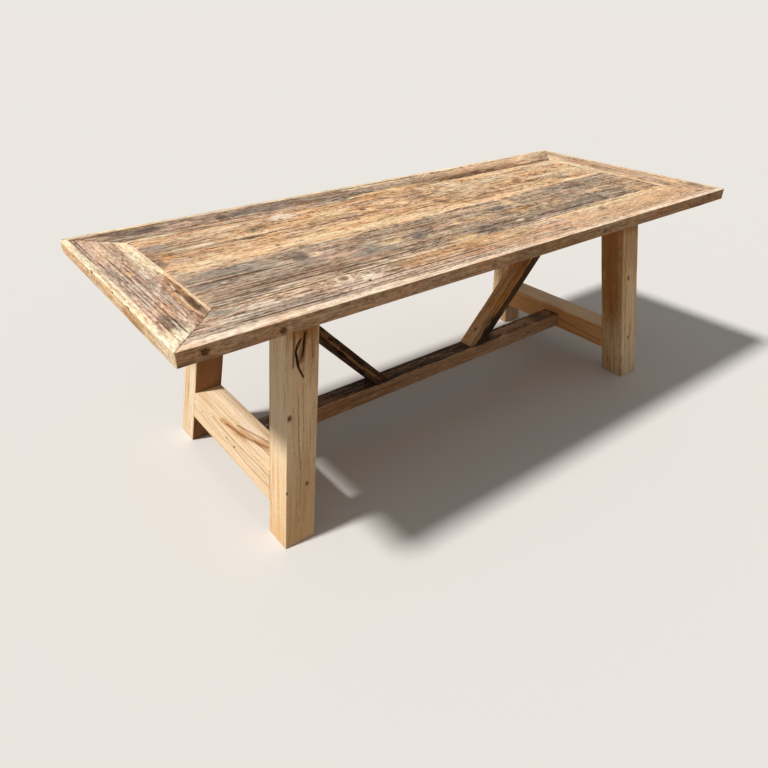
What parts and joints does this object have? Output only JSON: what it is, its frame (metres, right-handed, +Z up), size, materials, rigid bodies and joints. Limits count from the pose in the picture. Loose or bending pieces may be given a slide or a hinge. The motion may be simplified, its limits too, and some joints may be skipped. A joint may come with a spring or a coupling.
{
  "type": "sawbuck table",
  "caption": "Rustic reclaimed-wood dining table with a mitred board top, splayed square legs, end stretchers, a centre stretcher and two diagonal braces.",
  "frame": {"origin": "on the floor, under the middle of the top", "axes": "+X along the table towards its right end, +Y to its back, +Z up"},
  "size_m": [2.25, 0.91, 0.77],
  "materials": {
    "weathered_rail": "weathered reclaimed softwood, sun-bleached, lightly brushed",
    "dark_rail": "weathered reclaimed softwood, dark grey-brown",
    "grey_plank": "blue-grey weathered reclaimed softwood",
    "honey_plank": "honey-coloured reclaimed softwood with worn grain",
    "fresh_pine": "newly planed pale pine, oiled, with straight grain",
    "dark_stretcher": "old dark weathered softwood",
    "honey_brace": "honey-brown reclaimed softwood",
    "dark_brace": "dark brown reclaimed softwood",
    "batten_pine": "plain pine",
    "hardwood": "plain beech",
    "screw_steel": "zinc plated"
  },
  "bodies": {
    "root": {"top_front_rail": "weathered_rail", "top_back_rail": "dark_rail", "top_left_end_board": "weathered_rail", "top_right_end_board": "weathered_rail", "top_front_plank": "grey_plank", "top_back_plank": "honey_plank", "lengthwise_tongues": "hardwood", "end_tongues": "hardwood", "mitre_splines": "hardwood", "left_batten": "batten_pine", "middle_batten": "batten_pine", "right_batten": "batten_pine", "batten_screws": "screw_steel", "leg_front_left": "fresh_pine", "leg_back_left": "fresh_pine", "leg_front_right": "fresh_pine", "leg_back_right": "fresh_pine", "leg_dowels": "hardwood", "left_top_bearer": "batten_pine", "right_top_bearer": "batten_pine", "left_end_stretcher": "fresh_pine", "right_end_stretcher": "fresh_pine", "tenon_wedges": "hardwood", "centre_stretcher": "dark_stretcher", "left_brace": "dark_brace", "right_brace": "honey_brace", "brace_dowels": "hardwood"}
  },
  "joints": []
}
